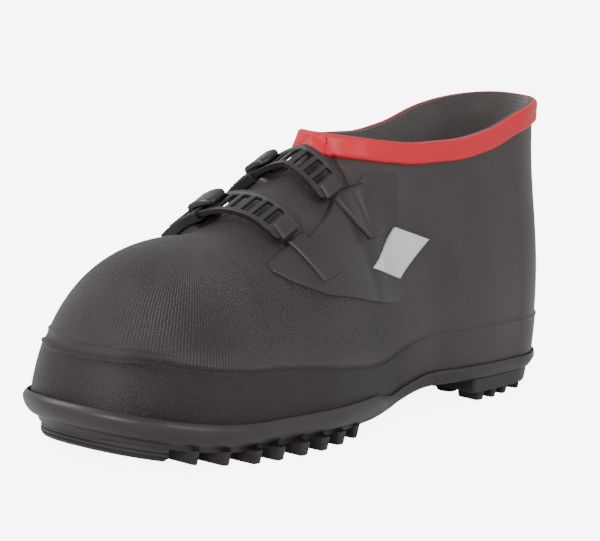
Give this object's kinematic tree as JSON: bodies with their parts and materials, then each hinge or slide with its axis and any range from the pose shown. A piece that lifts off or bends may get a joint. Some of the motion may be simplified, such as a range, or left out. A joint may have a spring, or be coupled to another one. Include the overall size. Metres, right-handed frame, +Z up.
{
  "type": "winter overshoe",
  "caption": "Low rubber overshoe for the right foot with a red collar band, slotted instep straps and a lugged sole with steel ice studs.",
  "frame": {"origin": "centre of the bounding box at the floor, under the tread", "axes": "+X towards the toe, +Y to the shoe's inner (medial) side, +Z up"},
  "size_m": [0.3447, 0.1281, 0.1495],
  "materials": {
    "black_rubber": "matte moulded rubber, ribbed and woven relief",
    "tread_rubber": "matte moulded rubber, slightly warmer than the upper",
    "footbed_felt": "dark knitted lining",
    "red_binding": "satin red rubber",
    "strap_plastic": "satin black plastic",
    "reflective_patch": "light grey retroreflective sheet",
    "stud_steel": "bright steel pins"
  },
  "bodies": {
    "root": {"upper": "black_rubber", "saddle_medial": "black_rubber", "saddle_lateral": "black_rubber", "tab_front_medial": "black_rubber", "tab_rear_medial": "black_rubber", "tab_front_lateral": "black_rubber", "tab_rear_lateral": "black_rubber", "outsole": "tread_rubber", "heel": "tread_rubber", "insole": "footbed_felt", "collar_binding": "red_binding", "ladder_front": "strap_plastic", "ladder_rear": "strap_plastic", "buckle_front": "strap_plastic", "buckle_rear": "strap_plastic", "lever_front": "strap_plastic", "lever_rear": "strap_plastic", "reflector_medial": "reflective_patch", "reflector_lateral": "reflective_patch", "stud_1": "stud_steel", "stud_2": "stud_steel", "stud_3": "stud_steel", "stud_4": "stud_steel", "stud_5": "stud_steel", "stud_6": "stud_steel", "stud_7": "stud_steel", "stud_8": "stud_steel", "stud_9": "stud_steel", "stud_10": "stud_steel", "stud_11": "stud_steel", "stud_12": "stud_steel", "stud_13": "stud_steel", "stud_14": "stud_steel"}
  },
  "joints": []
}
